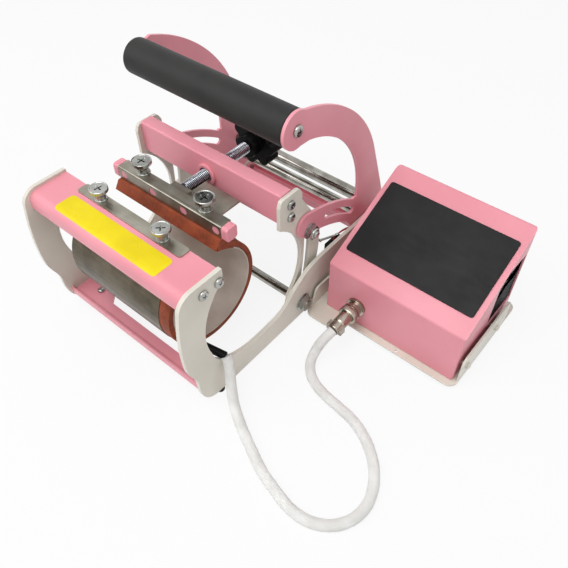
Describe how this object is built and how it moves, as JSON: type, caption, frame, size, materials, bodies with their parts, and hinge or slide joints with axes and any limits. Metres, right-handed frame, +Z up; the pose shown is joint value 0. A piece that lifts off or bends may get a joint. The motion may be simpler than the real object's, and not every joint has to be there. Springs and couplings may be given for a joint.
{
  "type": "mug heat press",
  "caption": "Bench heat press for mugs and tumblers: ring heater between two side plates, lever handle, screw-adjusted clamp and a wedge control box on a cable.",
  "frame": {"origin": "middle of the footprint on the bench, cable not counted", "axes": "+X towards the control box, +Y towards the rear, away from the operator, +Z up"},
  "size_m": [0.3968, 0.3383, 0.2515],
  "materials": {
    "pink_paint": "pink powder coat, semi-gloss, fine orange peel",
    "white_paint": "off-white powder coat, semi-gloss",
    "stainless": "brushed stainless sheet",
    "plated_steel": "bright zinc plate on fasteners",
    "bright_rod": "ground and chromed round bar",
    "silicone": "matt red-brown silicone rubber",
    "liner_cloth": "taupe release cloth over silicone",
    "foil": "etched heating foil",
    "foam": "closed-cell foam sleeve, matt",
    "black_plastic": "moulded black plastic",
    "panel_plastic": "printed panel film, satin black",
    "black_rubber": "soft black rubber",
    "nickel": "nickel-plated connector shell",
    "glass_sleeve": "white glass-fibre sleeve",
    "bronze": "sintered bronze",
    "board": "green circuit board",
    "core_steel": "varnished laminations and winding",
    "heatsink": "extruded aluminium",
    "red_wire": "PVC-insulated wire",
    "red_plastic": "moulded red rocker"
  },
  "bodies": {
    "frame": {"left_side_frame": "white_paint", "right_side_frame": "white_paint", "front_bar": "pink_paint", "front_base_channel": "pink_paint", "rear_base_channel": "pink_paint", "frame_screws": "plated_steel", "rubber_feet": "black_rubber", "arm_pivot_rod": "bright_rod", "pivot_nuts": "plated_steel", "handle_pivot_rod": "bright_rod", "front_clamp_strip": "stainless", "front_clamp_screws": "plated_steel", "heater_mat": "silicone", "mat_liner": "liner_cloth", "heating_foil": "foil", "heater_band": "stainless", "temperature_sensor": "stainless", "lead_sleeve": "black_rubber", "heater_cable": "glass_sleeve", "cable_plug": "nickel", "plug_ring": "nickel", "panel_socket": "nickel", "box_base_plate": "white_paint", "control_box_shell": "pink_paint", "control_panel": "panel_plastic", "control_board": "board", "power_relay": "heatsink", "transformer": "core_steel", "fan_housing": "black_plastic", "fan_guard": "black_plastic", "power_inlet": "black_plastic", "box_screws": "white_paint", "limit_switch": "black_plastic", "switch_leads": "red_wire"},
    "fan": {"fan_rotor": "black_plastic"},
    "rocker": {"power_rocker": "red_plastic"},
    "lever": {"switch_lever": "plated_steel"},
    "arms": {"left_swing_arm": "white_paint", "right_swing_arm": "white_paint", "crossbar": "pink_paint", "crossbar_screws": "plated_steel", "screw_boss": "pink_paint", "arm_bushes": "bronze"},
    "handle": {"left_handle_plate": "pink_paint", "right_handle_plate": "pink_paint", "handle_tie_rod": "bright_rod", "handle_screws": "plated_steel", "grip_tube": "plated_steel", "foam_grip": "foam", "link_bolts": "plated_steel", "link_nuts": "plated_steel", "handle_bushes": "bronze"},
    "clamp": {"clamp_bar": "pink_paint", "clamp_plate": "stainless", "clamp_end_caps": "pink_paint", "clamp_screws": "plated_steel", "mat_tab": "silicone", "thrust_block": "stainless"},
    "screw": {"pressure_screw": "plated_steel", "star_knob": "black_plastic"}
  },
  "joints": [
    {"name": "handle_swing", "type": "hinge", "parent": "frame", "child": "handle", "pos_m": [-0.08425, 0.12495, 0.054], "axis": [1, 0, 0], "range_deg": [0, 16]},
    {"name": "arms_swing", "type": "hinge", "parent": "frame", "child": "arms", "pos_m": [-0.08425, 0.00145, 0.022], "axis": [1, 0, 0], "range_deg": [0, 11.2]},
    {"name": "lever_press", "type": "hinge", "parent": "frame", "child": "lever", "pos_m": [0.01075, 0.07195, 0.0615], "axis": [1, 0, 0], "range_deg": [0, 12]},
    {"name": "clamp_slide", "type": "slide", "parent": "arms", "child": "clamp", "axis": [0, -1, 0], "range_m": [-0.0035, 0.00525]},
    {"name": "screw_turn", "type": "hinge", "parent": "clamp", "child": "screw", "pos_m": [-0.08425, -0.01805, 0.151], "axis": [0, -1, 0], "range_deg": [-720, 1080]},
    {"name": "fan_spin", "type": "hinge", "parent": "frame", "child": "fan", "pos_m": [0.17575, 0.10895, 0.068], "axis": [1, 0, 0], "continuous": true},
    {"name": "rocker_tilt", "type": "hinge", "parent": "frame", "child": "rocker", "pos_m": [0.10405, 0.13895, 0.046], "axis": [1, 0, 0], "range_deg": [0, 16]}
  ],
  "couplings": [
    {"joint": "arms_swing", "follows": "handle_swing", "ratio": 0.7},
    {"joint": "lever_press", "follows": "handle_swing", "ratio": 0.75},
    {"joint": "screw_turn", "follows": "clamp_slide", "rad_per_m": 3590.4}
  ]
}
